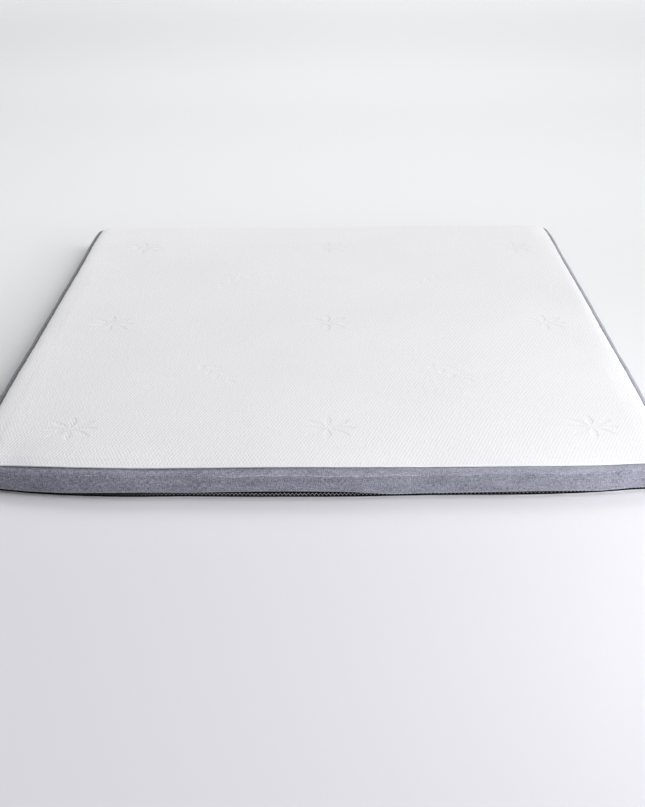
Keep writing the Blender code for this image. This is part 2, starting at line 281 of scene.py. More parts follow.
class FinishMaker:
    def __init__(self, name, constants):
        self.material = bpy.data.materials.new(name)
        self.material.use_nodes = True
        self.tree = self.material.node_tree
        self.shader = self.tree.nodes["Principled BSDF"]
        for key, value in constants.items():
            self.shader.inputs[key].default_value = value

    def node(self, kind, settings=None, inputs=None, output=0):
        made = self.tree.nodes.new(kind)
        for key, value in (settings or {}).items():
            if key == "stops":
                for stop, (place, colour) in zip(made.color_ramp.elements, value):
                    stop.position = place
                    stop.color = colour
            else:
                setattr(made, key, value)
        for key, value in (inputs or {}).items():
            self.feed(made.inputs[key], value)
        return Wire(self, made.outputs[output])

    def feed(self, socket, value):
        if isinstance(value, Wire):
            self.tree.links.new(value.socket, socket)
        else:
            socket.default_value = value

    def maths(self, operation, *values):
        return self.node("ShaderNodeMath", {"operation": operation}, dict(enumerate(values)))

    def sine(self, value):
        return self.maths("SINE", value)

    def parts(self, vector):  # x, y and z of a vector
        split = self.node("ShaderNodeSeparateXYZ", inputs={0: vector}).socket.node
        return [Wire(self, socket) for socket in split.outputs]

    def joined(self, x, y, z=0.0):
        return self.node("ShaderNodeCombineXYZ", inputs={0: x, 1: y, 2: z})

    def noise(self, vector, scale=1.0, detail=2.0, roughness=0.5):
        inputs = {"Vector": vector, "Scale": scale, "Detail": detail, "Roughness": roughness}
        return self.node("ShaderNodeTexNoise", None, inputs)

    def between(self, share, low, high):  # a colour from low to high
        low, high = (end if isinstance(end, Wire) else (*end, 1.0) for end in (low, high))
        inputs = {0: share, 6: low, 7: high}
        settings = {"data_type": "RGBA", "clamp_factor": True}
        return self.node("ShaderNodeMix", settings, inputs, output=2)

    def attribute(self, name, output=2):
        return self.node("ShaderNodeAttribute", {"attribute_name": name}, output=output)

    def place(self):
        return self.node("ShaderNodeTexCoord", output=3)

    def fade(self, value, low, high):  # 0 below low, 1 above high, soft between
        inputs = {"Value": value, "From Min": low, "From Max": high}
        return self.node("ShaderNodeMapRange", {"interpolation_type": "SMOOTHSTEP"}, inputs)

    def lessened(self, start, value, fades):  # each fade, (from, to, amount), takes its amount away
        for low, high, amount in fades:
            start = start - self.fade(value, low, high) * amount
        return start

    def relief(self, height, distance):
        bump = self.node("ShaderNodeBump", None, {"Height": height, "Distance": distance, "Strength": 1.0})
        self.feed(self.shader.inputs["Normal"], bump)

    def colour(self, wire):
        self.feed(self.shader.inputs["Base Color"], wire)

    def roughness(self, wire):
        self.feed(self.shader.inputs["Roughness"], wire)


# Leaves pressed into the top. A flower's leaves stand evenly round it, its upright ones longer; a sprig's
# leaves stand on both sides of its line in turn, with one at its tip.
leafShape = {
    "flower": {"count": 8, "start": 0.008, "length": 0.050, "longer": 0.010, "width": 0.016},
    "sprig": {
        "count": 6,
        "angle": 42.0,
        "start": 0.005,
        "length": 0.032,
        "width": 0.014,
        "spacing": 0.040,
        "last": 0.042,
        "tip": 0.064,
        "tipLength": 0.036,
        "tipWidth": 0.015,
    },
    "roundness": 0.8,         # the outline is a sine to this power
    "behindRoot": 0.003,      # a side leaf's place starts this far behind its root
}


def flowerLeaves():  # along and across the motif, angle, root distance, length, width
    leaf = leafShape["flower"]
    for k in range(leaf["count"]):
        angle = 360.0 * k / leaf["count"]
        length = leaf["length"] + leaf["longer"] * abs(math.sin(math.radians(angle)))
        yield 0.0, 0.0, angle, leaf["start"], length, leaf["width"]


def sprigLeaves():
    leaf = leafShape["sprig"]
    yield leaf["tip"], 0.0, 0.0, 0.0, leaf["tipLength"], leaf["tipWidth"]
    for k in range(leaf["count"]):
        root = leaf["last"] - k * leaf["spacing"] / 2
        angle = leaf["angle"] if k % 2 == 0 else -leaf["angle"]
        yield root, 0.0, angle, leaf["start"], leaf["length"], leaf["width"]


motifs = {"flower": tuple(flowerLeaves()), "sprig": tuple(sprigLeaves())}
motifPlaces = (  # motif, x, y, turn
    ("flower", -0.510, -0.781, 0.0),
    ("flower", 0.014, -0.779, 0.0),
    ("flower", 0.552, -0.777, 0.0),
    ("flower", -0.525, -0.050, 0.0),
    ("flower", 0.012, -0.050, 0.0),
    ("flower", 0.549, -0.052, 0.0),
    ("flower", -0.530, 0.712, 0.0),
    ("flower", 0.012, 0.710, 0.0),
    ("flower", 0.556, 0.706, 0.0),
    ("sprig", -0.251, 0.325, 53.0),
    ("sprig", 0.284, 0.328, 53.0),
    ("sprig", -0.240, -0.418, -61.0),
    ("sprig", 0.283, -0.418, -59.0),
)

# White jacquard knit: slanting ribs crossed by fainter ones, so that they break into narrow diamonds.
knitLook = {
    "ribPitch": 0.00693,     # from rib to rib across the width
    "ribSlope": 3.73,        # metres lengthwise for each metre across
    "crossSlope": 3.17,
    "ribShare": 0.74,
    "crossShare": 0.36,
    "ribRelief": 0.00012,
    "stitchPitch": 0.0016,
    "stitchStretch": 1.25,
    "stitchRelief": 0.00001,
    "stitchTone": 0.05,
    "pulled": 0.07,          # the cloth is drawn askew towards the right edge's near end
    "pulledAcross": (0.12, 0.66),
    "pulledAlong": (-1.05, -0.20),
    "drifts": ((8.0, 3.0), (110.0, 4.0)),       # the ribs waver: noise scale and how far
    "ribPatches": (140.0, 3.4, 0.7),            # where ribs show: noise scale, gain, less
    "crossPatches": (9.0, 2.4, 0.7),
    "clear": 1.55,           # how clearly the ribs show, less these fades: from, to, amount
    "clearAcross": ((-0.65, 0.00, 0.75), (0.10, 0.60, 0.22)),
    "clearAlong": ((-0.85, -0.50, 0.15), (-0.60, 0.20, 0.10)),
    "frontRim": (-0.98, -0.84),                 # nearer than this the knit is more dotted
    "frontRib": 0.20,
    "frontCross": 0.70,
    "leafCross": 0.15,       # inside a leaf the ribs lie the other way
    "leafCrossUpright": 0.65,
    "leafRib": 0.12,
    "leafRelief": 0.00028,
    "sprigRelief": 0.00035,
    "wall": 0.0024,          # width of the slope round a pressed leaf
    "lineStarts": -0.0006,   # painted shade: a thin darker line on that slope, and the shares of its width
    "lineShares": (0.4, 0.5, 1.3),              # where the line is full, fades and ends
    "lineSides": (-0.010, 0.020),               # it is stronger on the right of a flower
    "lineRight": 0.75,
    "outline": 0.55,         # strength of that line
    "outlineFar": 0.95,      # and this much more towards the back, where it is seen at a slant
    "farAlong": (-0.60, 0.10),
    "upright": (0.45, 0.95),                    # a leaf is upright from this much slant on
    "leafLight": 0.24,       # painted light: a flower's level leaves are lighter inside towards the back
    "lightAlong": (-0.60, -0.10),
    "calmed": 0.60,          # both are this much less towards the right
    "rightward": (0.05, 0.60),
    "leftLight": 0.12,       # painted light: the far left is lighter
    "farLeft": (-0.72, -0.50),
    "rightDim": 0.25,        # painted shade: the near right darker, where the key light falls strongest
    "right": (0.30, 0.65),
    "near": (-0.90, -0.45),
    "cloud": (3.0, 0.30),                       # noise scale and strength
    "fuzz": (340.0, 1.2),
    "fuzzRelief": 0.00003,
    "roughness": (0.80, 0.12),                  # least, and more with the fuzz
    # painted shade: the ribs' valleys are coloured darker than their crests
    "valley": (0.730, 0.721, 0.742),
    "crest": (0.936, 0.925, 0.947),
    "lip": (0.850, 0.846, 0.870),
    # painted shade under the lip, tinted towards the border's blue
    "underLip": (0.50, 0.51, 0.60),
}


def leafInside(knit, along, across, length, half):  # metres inside a leaf's outline
    share = along / length
    held = knit.maths("MINIMUM", knit.maths("MAXIMUM", share, 0.0), 1.0)
    outline = knit.maths("MAXIMUM", knit.sine(held * math.pi), 0.0) ** leafShape["roundness"] * half
    return outline - across - knit.maths("ABSOLUTE", share - held) * length


def flowerPressed(knit):  # how far pressed in, the painted shade line on its slope, and how upright the leaf is
    u, v, shown = knit.parts(knit.attribute("flowerPlace", output=1))
    leaf = leafShape["flower"]
    reach = (u * u + v * v) ** 0.5
    folded = knit.maths("PINGPONG", knit.maths("ARCTAN2", v, u), math.pi / leaf["count"])
    along = reach * knit.maths("COSINE", folded) - leaf["start"]
    length = leaf["length"] + knit.maths("ABSOLUTE", v) / reach * leaf["longer"]
    inside = leafInside(knit, along, reach * knit.sine(folded), length, leaf["width"] / 2)
    wall = knitLook["wall"]
    full, fades, ends = (wall * share for share in knitLook["lineShares"])
    pressed = knit.fade(inside, 0.0, wall) * shown
    shadeLine = knit.fade(inside, knitLook["lineStarts"], full) * (1.0 - knit.fade(inside, fades, ends)) * shown
    right = knitLook["lineRight"]
    shadeLine = shadeLine * (knit.fade(u, *knitLook["lineSides"]) * right + (1.0 - right))
    return pressed, shadeLine, knit.fade(knit.maths("ABSOLUTE", v) / reach, *knitLook["upright"])


def sprigPressed(knit):
    u, v, shown = knit.parts(knit.attribute("sprigPlace", output=1))
    leaf = leafShape["sprig"]
    cos, sin = (trig(math.radians(leaf["angle"])) for trig in (math.cos, math.sin))
    below = knit.maths("LESS_THAN", v, 0.0)
    up = knit.maths("ABSOLUTE", v)
    shifted = u + below * (leaf["spacing"] / 2)
    behind = leafShape["behindRoot"]
    fromRoot = knit.maths("FLOORED_MODULO", shifted - leaf["last"] + behind, leaf["spacing"]) - behind
    across = knit.maths("ABSOLUTE", up * cos - fromRoot * sin)
    along = fromRoot * cos + up * sin - leaf["start"]
    side = leafInside(knit, along, across, leaf["length"], leaf["width"] / 2)
    allowed = knit.maths("GREATER_THAN", shifted, leaf["last"] - 2 * leaf["spacing"] - behind)
    allowed = allowed * knit.maths("LESS_THAN", shifted, leaf["last"] + leaf["spacing"] - 2 * behind)
    tip = leafInside(knit, u - leaf["tip"], up, leaf["tipLength"], leaf["tipWidth"] / 2)
    wall = knitLook["wall"]
    return knit.maths("MAXIMUM", knit.fade(side, 0.0, wall) * allowed, knit.fade(tip, 0.0, wall)) * shown


def knitFinish():
    look = knitLook
    knit = FinishMaker("whiteKnit", {"Roughness": 0.85, "Sheen Weight": 0.12, "Sheen Roughness": 0.5})
    x, y, _ = knit.parts(knit.place())
    plainLipAndShade = knit.attribute("plainLipAndShade")
    pull = knit.fade(x, *look["pulledAcross"]) * knit.fade(y, *look["pulledAlong"]) * look["pulled"]
    x = x - pull
    turn = 2 * math.pi / look["ribPitch"]
    drift = sum((knit.noise(knit.place(), scale, 1.0) - 0.5) * far for scale, far in look["drifts"])
    rib = knit.sine((x - y / look["ribSlope"]) * turn + drift)
    cross = knit.sine((x + y / look["crossSlope"]) * turn - drift)
    ribPatch, crossPatch = (
        knit.noise(knit.place(), scale, 1.0) * gain - less
        for scale, gain, less in (look["ribPatches"], look["crossPatches"])
    )
    (leaves, outline, upright), sprigs = flowerPressed(knit), sprigPressed(knit)
    pressed = knit.maths("MAXIMUM", leaves, sprigs)
    fine = 2 * math.pi / look["stitchPitch"]
    stitch = knit.sine(x * fine) * knit.sine(y * fine * look["stitchStretch"])
    clear = knit.lessened(look["clear"], x, look["clearAcross"]) * knit.lessened(1.0, y, look["clearAlong"])
    rim = 1.0 - knit.fade(y, *look["frontRim"])
    outside = rib * look["ribShare"] * ribPatch * (1.0 - rim * look["frontRib"])
    outside = outside + cross * (crossPatch + rim * look["frontCross"]) * look["crossShare"]
    inside = cross * (upright * look["leafCrossUpright"] + look["leafCross"]) - rib * look["leafRib"]
    ribs = (outside * (1.0 - pressed) + inside * pressed) * clear
    ribbed = ribs * (1.0 - plainLipAndShade) * 0.5 + 0.5
    fuzz = knit.noise(knit.place(), look["fuzz"][0], 3.0)
    cloud = knit.noise(knit.place(), look["cloud"][0], 2.0)
    height = ribbed * look["ribRelief"] + stitch * look["stitchRelief"] + fuzz * look["fuzzRelief"]
    height = height - leaves * look["leafRelief"] - sprigs * look["sprigRelief"]
    knit.relief(height, 1.0)
    # the ribs' tone is painted shade in their valleys
    tone = ribbed + stitch * look["stitchTone"]
    tone = tone + (cloud - 0.5) * look["cloud"][1] + (fuzz - 0.5) * look["fuzz"][1]
    calm = 1.0 - knit.fade(x, *look["rightward"]) * look["calmed"]
    shadeLine = knit.fade(y, *look["farAlong"]) * calm * look["outlineFar"] + look["outline"]
    light = knit.fade(y, *look["lightAlong"]) * calm * look["leafLight"]
    # painted shade along each leaf's slope, and painted light inside the level leaves
    tone = tone - outline * shadeLine + leaves * (1.0 - upright) * light
    # painted light on the far left, painted shade on the near right
    farLeft = 1.0 - knit.fade(x, *look["farLeft"])
    nearRight = knit.fade(x, *look["right"]) * (1.0 - knit.fade(y, *look["near"]))
    tone = tone + farLeft * look["leftLight"] - nearRight * look["rightDim"]
    cloth = knit.between(tone, look["valley"], look["crest"])
    # past 1 the lip's colour turns to its painted shade
    lip = knit.between(plainLipAndShade - 1.0, look["lip"], look["underLip"])
    knit.colour(knit.between(plainLipAndShade, cloth, lip))
    rough, rougher = look["roughness"]
    knit.roughness(rough + fuzz * rougher)
    return knit.material


# Grey heather border: a plain weave of uneven mixed yarn. Its attribute holds metres along the strip, down
# from the seam and up from the hem.
heatherLook = {
    "yarnPitch": 0.0011,
    "yarnTone": 0.05,
    "yarnRelief": 0.5,
    "dark": (0.093, 0.096, 0.127),
    "light": (0.528, 0.539, 0.638),
    "middle": 0.36,
    "mottle": {               # noise scales along and up the strip, detail, roughness, strength
        "lying": (110.0, 560.0, 2.0, 0.60, 1.05),       # yarns that lie along the strip
        "standing": (520.0, 110.0, 2.0, 0.60, 1.05),
        "cloud": (17.0, 75.0, 3.0, 0.55, 0.50),
        "speck": (560.0, 560.0, 1.0, 0.50, 1.00),
    },
    "mottleRelief": 0.8,
    "grain": 1.30,            # the yarns show more on the shaded left side,
    "grainFades": ((-0.65, 0.55, 0.45),),               # less these fades: from, to, amount
    "shoulder": 0.055,        # painted light: lighter above the ridge, where the cloth is turned up to the light
    "shoulderEdge": (-0.0020, 0.0010),
    "litShoulder": 0.070,     # and more so on the right of the front
    "litFrom": (0.12, 0.24),
    "litTo": (0.50, 0.58),
    "dimEnd": 0.060,          # painted shade: darker at the far left
    "dimTo": (-0.70, -0.56),
    "hemLight": 0.20,         # painted highlight: lighter along the hem's edge, where its fold catches the light
    "hemEdge": (0.0008, 0.0026),
    "seamShade": 0.42,        # darker in the seam's groove
    "seamEdge": (0.0070, 0.0120),
    # painted highlight: a lighter line along each ridge crease, beside its bump
    "crease": 0.42,
    "creaseEdge": (0.0002, 0.0014),
    "creaseRelief": 1.5,
    "relief": 0.00022,
}


def heatherFinish():
    look = heatherLook
    cloth = FinishMaker("heatherCloth", {"Roughness": 0.9, "Sheen Weight": 0.25, "Sheen Roughness": 0.45})
    along, up, overHem = cloth.parts(cloth.attribute("weave", output=1))
    away, sharp, groove = cloth.parts(cloth.attribute("crease", output=1))
    x, _, _ = cloth.parts(cloth.place())
    mottle, tones = {}, {}
    for name, (alongScale, upScale, detail, roughness, strength) in look["mottle"].items():
        at = cloth.joined(along * alongScale, up * upScale)
        mottle[name] = cloth.noise(at, 1.0, detail, roughness) - 0.5
        tones[name] = mottle[name] * strength
    turn = 2 * math.pi / look["yarnPitch"]
    yarns = cloth.sine(along * turn) * cloth.sine(up * turn)
    grain = cloth.lessened(look["grain"], x, look["grainFades"])
    tone = (tones["lying"] + tones["standing"] + tones["speck"]) * grain
    tone = tone + tones["cloud"] + look["middle"] + yarns * look["yarnTone"]
    # the crease line is painted highlight as well as bump
    crease = (1.0 - cloth.fade(cloth.maths("ABSOLUTE", away), *look["creaseEdge"])) * sharp
    # painted light on the turned-up cloth above the ridge
    shoulder = 1.0 - cloth.fade(away, *look["shoulderEdge"])
    lit = cloth.fade(x, *look["litFrom"]) * (1.0 - cloth.fade(x, *look["litTo"]))
    tone = tone + crease * look["crease"] + shoulder * (lit * look["litShoulder"] + look["shoulder"])
    # painted shade at the far left
    tone = tone - (1.0 - cloth.fade(x, *look["dimTo"])) * look["dimEnd"]
    # painted highlight along the hem's fold
    tone = tone + (1.0 - cloth.fade(overHem, *look["hemEdge"])) * look["hemLight"]
    tone = tone - (1.0 - cloth.fade(up, *look["seamEdge"])) * groove * look["seamShade"]
    cloth.colour(cloth.between(tone, look["dark"], look["light"]))
    height = yarns * look["yarnRelief"] + (mottle["lying"] + mottle["standing"]) * look["mottleRelief"]
    cloth.relief(height + crease * look["creaseRelief"], look["relief"])
    return cloth.material


zipLook = {
    "tape": (0.004, 0.0045, 0.006),
    "worn": (0.010, 0.011, 0.014),
    "ribPitch": 0.0012,
    "ribTone": 0.4,
    "ribRelief": 0.00015,
    "coil": (0.003, 0.003, 0.0035),
    "coilWorn": (0.010, 0.010, 0.012),
    "coilRoughness": (0.45, 0.25),
    "coilScale": 300.0,       # of the scuffs
}


def zipTapeFinish():
    look = zipLook
    tape = FinishMaker("zipTape", {"Roughness": 0.9, "Specular IOR Level": 0.08})
    along, up, _ = tape.parts(tape.attribute("weave", output=1))
    turn = 2 * math.pi / look["ribPitch"]
    ribs = tape.sine((along + up) * turn) * tape.sine((along - up) * turn)
    tape.colour(tape.between(ribs * look["ribTone"] + 0.5, look["tape"], look["worn"]))
    tape.relief(ribs, look["ribRelief"])
    return tape.material


def coilFinish():
    look = zipLook
    coil = FinishMaker("zipCoil", {"Specular IOR Level": 0.15})
    scuff = coil.noise(coil.place(), look["coilScale"], 2.0)
    coil.colour(coil.between(scuff, look["coil"], look["coilWorn"]))
    rough, rougher = look["coilRoughness"]
    coil.roughness(scuff * rougher + rough)
    return coil.material


# Threads: each one's darker and lighter tone, and the scale of its twist.
threadLook = {
    "hem": ((0.16, 0.17, 0.21), (0.34, 0.35, 0.41)),
    "hemTwist": 1400.0,
    "hemRelief": 0.0001,
    "zip": ((0.07, 0.071, 0.076), (0.70, 0.705, 0.73)),
    "zipTwist": 900.0,
    "zipTones": (0.75, 0.40),
    "leftShade": (-0.42, -0.15),  # painted shade: left of here the zip's thread is darker, under the overhanging hem,
    "shaded": (0.00, 0.12),    # and right of here dimmed by painted shade
    "shade": 0.50,
}


def hemThreadFinish():
    look = threadLook
    thread = FinishMaker("greyThread", {"Roughness": 0.7, "Sheen Weight": 0.2})
    twist = thread.noise(thread.place(), look["hemTwist"], 1.0)
    thread.colour(thread.between(twist, *look["hem"]))
    thread.relief(twist, look["hemRelief"])
    return thread.material


def zipThreadFinish():
    look = threadLook
    thread = FinishMaker("zipThread", {"Roughness": 0.7, "Sheen Weight": 0.1})
    x, _, _ = thread.parts(thread.place())
    # painted shade from the overhanging hem on the thread's two ends
    unshaded = thread.fade(x, *look["leftShade"]) * (1.0 - thread.fade(x, *look["shaded"]) * look["shade"])
    least, more = look["zipTones"]
    twist = thread.noise(thread.place(), look["zipTwist"], 1.0) * more + least
    thread.colour(thread.between(unshaded * twist, *look["zip"]))
    return thread.material


undersideLook = {
    "weavePitch": 0.0024,
    "weaveTone": 0.25,
    "weaveRelief": 0.0002,
    "cloud": (14.0, 0.8),     # noise scale and strength
    "tones": ((0.66, 0.66, 0.67), (0.76, 0.76, 0.77)),
}


def undersideFinish():
    look = undersideLook
    cloth = FinishMaker("undersideCloth", {"Roughness": 0.9, "Sheen Weight": 0.1})
    x, y, _ = cloth.parts(cloth.place())
    turn = 2 * math.pi / look["weavePitch"]
    weave = cloth.sine(x * turn) * cloth.sine(y * turn)
    scale, strength = look["cloud"]
    tone = weave * look["weaveTone"] + cloth.noise(cloth.place(), scale, 3.0) * strength
    cloth.colour(cloth.between(tone, *look["tones"]))
    cloth.relief(weave, look["weaveRelief"])
    return cloth.material


finishes = {
    "knit": knitFinish(),
    "heather": heatherFinish(),
    "tape": zipTapeFinish(),
    "coil": coilFinish(),
    "hemThread": hemThreadFinish(),
    "zipThread": zipThreadFinish(),
    "underside": undersideFinish(),
}
print("finishes made:", len(finishes))

topPanel = {
    "fineStep": 0.0060,       # grid over the motifs
    "coarseStep": 0.0130,     # and between them
    "flowerReach": (0.056, 0.080),              # half the fine grid over a motif, in X and Y
    "sprigReach": (0.075, 0.092),
    "reliefReach": 1.2,       # its relief may reach this much further than that in Y
    "leafDepth": {"flower": 0.0003, "sprig": 0.0003},
    "leafRim": 0.00020,       # the cloth puffs up this much round a leaf,
    "rimReach": 0.004,        # and this far out
    "dish": 0.45,             # a leaf is deepest at this share of its half width
    "vein": (0.50, 0.95, 0.35),                 # and rises again along its middle: from, to, share
    "motifNear": 0.125,       # a motif's own colours end this far from its middle
    "swell": 0.0007,          # slow hills and hollows of the filling
    "swellWaves": (           # how much X and Y count, and each wave's length and share
        (0.8, 0.4, ((0.83, 0.45), (0.47, 0.25)), 3),
        (-0.3, 0.9, ((1.10, 0.45), (0.39, 0.22)), 5),
    ),
    "swellEnds": (-0.010, -0.045),              # out over the lip, where these hills end and are full
    "lip": (                  # out, height at the front, height elsewhere: over the lip to the seam's crease
        (-0.0355, 0.0619, 0.0619),
        (-0.0300, 0.0618, 0.0618),
        (-0.0180, 0.0614, 0.0613),
        (-0.0120, 0.0609, 0.0608),
        (-0.0088, 0.0606, 0.0604),
        (-0.0064, 0.0606, 0.0600),
        (-0.0042, 0.0610, 0.0596),
        (-0.0020, 0.0612, 0.0591),
        (-0.0002, 0.0607, 0.0585),
        (0.0010, 0.0597, 0.0579),
        (0.0006, 0.0587, 0.0575),
        (-0.0012, 0.0580, 0.0573),
        (-0.0050, 0.0577, 0.0572),
        (-0.0050, 0.0552, 0.0552),
    ),
    "whiteLip": (-0.0085, -0.0030),             # out, where the ribbed cloth turns into the plain lip
    "flatLip": 0.15,          # how far it does so where the lip lies flat
    "underLip": 0.0602,       # below this height the front's lip is shaded by the seam,
    "underRight": (0.05, 0.50, 0.8),            # and less so on the right: from, to, amount
    "rollFades": 0.10,        # how far round each front corner the rolled lip flattens
    "rollSides": 0.5,         # how round the lip still is at those corners
    "pucker": 0.00028,        # small waves of the lip
    "puckerWaves": ((0.021, 0.35), (0.034, 0.4), (0.055, 0.45), (0.13, 0.6)),
    "puckerStarts": (-0.016, -0.004),
    "puckerUp": 0.8,
    "puckerShift": 3.1,       # so that no two sides pucker alike
    "hidden": (               # the filling behind the border and the zip, down to the underside
        (0.0080, 0.0527),
        (0.0124, 0.0494),
        (0.0142, 0.0466),
        (0.0139, 0.0380),
        (0.0141, 0.0264),
        (0.0088, 0.0178),
        (0.0088, 0.0044),
        (0.0068, 0.0024),
    ),
    "lipFurther": {"front": 0.0, "right": 0.0009, "back": 0.0, "left": 0.0},     # over the border
    "furtherFrom": (-0.0048, -0.0012),
    "lipSteps": 2,            # steps between two rows of the lip
    "cornerSteps": 12,
    "sinks": (0.0185, 0.0300),                  # heights between which the filling starts to sink
}


def gridLines(half, bands, fine, coarse):
    lines, at = [-half], -half
    while at < half:
        inBand = any(low <= at <= high for low, high in bands)
        at += fine if inBand else coarse
        lines.append(at)
    lines = np.array(lines)
    return -half + (lines + half) * 2 * half / (lines[-1] + half)


def turned(x, y, degrees):  # x and y in axes turned by so many degrees
    cos, sin = math.cos(math.radians(degrees)), math.sin(math.radians(degrees))
    return x * cos + y * sin, -x * sin + y * cos


def motifCoordinates(x, y):  # places measured from the nearest flower and sprig, and 1 where one is close
    found = {}
    for motif in motifs:
        best = np.full(x.shape, np.inf)
        place = np.zeros(x.shape + (3,))
        for kind, placeX, placeY, turn in motifPlaces:
            if kind != motif:
                continue
            away = np.hypot(x - placeX, y - placeY)
            close = (away < topPanel["motifNear"]) * 1.0
            here = np.stack([*turned(x - placeX, y - placeY, turn), close], -1)
            place = np.where((away < best)[..., None], here, place)
            best = np.minimum(best, away)
        found[motif + "Place"] = place
    return found


def leafRelief(x, y):  # height change at plan points
    look = topPanel
    low, high, vein = look["vein"]
    height = np.zeros(x.shape)
    for motif, placeX, placeY, turn in motifPlaces:
        reach = look[motif + "Reach"][1] * look["reliefReach"]
        near = (abs(x - placeX) < reach) & (abs(y - placeY) < reach)
        motifX, motifY = turned(x[near] - placeX, y[near] - placeY, turn)
        change = np.zeros(motifX.shape)
        for along, across, angle, start, length, width in motifs[motif]:
            leafX, leafY = turned(motifX - along, motifY - across, angle)
            t = (leafX - start) / length
            side = abs(leafY)
            inT = np.clip(t, 0.0, 1.0)
            half = width / 2 * np.sin(np.pi * inT) ** leafShape["roundness"]
            beyond = np.hypot(np.maximum(side - half, 0.0), (t - inT) * length)
            deep = np.clip(half - side, 0.0, None) / (width / 2)
            isIn = (beyond < 1e-9) & (t > 0) & (t < 1)
            dish = smoothStep(0.0, look["dish"], deep) * (1 - vein * smoothStep(low, high, deep))
            puff = look["leafRim"] * np.exp(-((beyond / look["rimReach"]) ** 2)) * ~isIn
            outside = np.where(change < 0, change, np.maximum(change, puff))
            change = np.where(isIn, -look["leafDepth"][motif] * dish, outside)
        height[near] += change
    return height


def topSwell(x, y):
    waves = topPanel["swellWaves"]
    hills = sum(ripple(x * shareX + y * shareY, heights, seed) for shareX, shareY, heights, seed in waves)
    return topPanel["swell"] * hills


def rollAt(side, s):  # 1 where the lip is a plump roll, along the front edge, and 0 where it lies flat
    half = topPanel["rollSides"]
    if side == "back":
        return np.zeros(len(s))
    if side == "front":
        return half + (1 - half) * smoothStep(0.0, topPanel["rollFades"], np.minimum(s, sideLength(side) - s))
    fromFront = s if side == "right" else sideLength(side) - s
    return half - half * smoothStep(0.0, topPanel["rollFades"], fromFront)


def motifBands(axis):  # from and to of each motif along X (0) or Y (1)
    bands = []
    for motif, *place, _ in motifPlaces:
        reach = topPanel[motif + "Reach"][axis]
        bands.append((place[axis] - reach, place[axis] + reach))
    return bands


def rimStations(xLines, yLines):  # places round the rim, their puckers, and the grid point that each joins
    index = np.arange(len(xLines) * len(yLines)).reshape(len(xLines), len(yLines))
    edges = {"front": index[:, 0], "right": index[-1, :], "back": index[::-1, -1], "left": index[0, ::-1]}
    lines = {"front": xLines, "right": yLines, "back": -xLines[::-1], "left": -yLines[::-1]}
    steps = topPanel["cornerSteps"]
    arc = np.linspace(0.0, halfArc, steps + 1)
    stations, inner = [], []
    for number, side in enumerate(sides):
        straight = lines[side] - lines[side][0] + halfArc
        s = np.concatenate([arc[:-1], straight, arc[1:-1] + straight[-1]])
        run = s + number * topPanel["puckerShift"]
        stations.append((side, s, ripple(run, topPanel["puckerWaves"], 11) * topPanel["pucker"]))
        inner += [edges[side][0]] * steps + list(edges[side]) + [edges[side][-1]] * (steps - 1)
    return stations, inner


def rimRows():  # out, height at the front, height elsewhere, and whether the row lies on the lip
    lip = np.array(topPanel["lip"])
    count = (len(lip) - 1) * topPanel["lipSteps"] + 1
    rolled, _, _ = sectionCurve(lip[:, :2], count)
    flat, _, _ = sectionCurve(lip[:, ::2], count)
    rows = [(out, height, low, True) for (out, height), (_, low) in zip(rolled[1:], flat[1:])]
    return rows + [(out, height, height, False) for out, height in topPanel["hidden"]]


def rimRing(stations, out, height, flatHeight, isLip):  # one row of points, and how plain the cloth is there, above 1 where the lip is painted in shade
    look = topPanel
    sinks = 1.0 if isLip else smoothStep(*look["sinks"], height)
    puckers, overhang, hills = (
        float(smoothStep(*look[key], out)) * isLip for key in ("puckerStarts", "furtherFrom", "swellEnds")
    )
    isPlain = float(smoothStep(*look["whiteLip"], out))
    isUnder = float(isLip and height < look["underLip"])
    underFrom, underTo, underLess = look["underRight"]
    ring, plainAndShade = [], []
    for side, s, pucker in stations:
        base, normal = sidePath(side, s)
        roll = rollAt(side, s)
        ends = smoothStep(0.0, look["rollFades"], np.minimum(s, sideLength(side) - s))
        wave = pucker * puckers
        further = look["lipFurther"][side] * overhang * ends
        plan = base + normal * (seamRadius + out + wave + further)[:, None]
        hill = topSwell(plan[:, 0], plan[:, 1]) * hills
        z = height * roll + flatHeight * (1 - roll) + wave * look["puckerUp"] + hill
        ring.append(settled(np.concatenate([plan, z[:, None]], -1), sinks))
        # painted shade on the front lip's lower rows, less on the right
        under = isUnder * (1 - underLess * smoothStep(underFrom, underTo, ring[-1][:, 0]))
        plainAndShade.append((look["flatLip"] + (1 - look["flatLip"]) * roll) * isPlain + under * roll)
    return np.concatenate(ring), np.concatenate(plainAndShade)


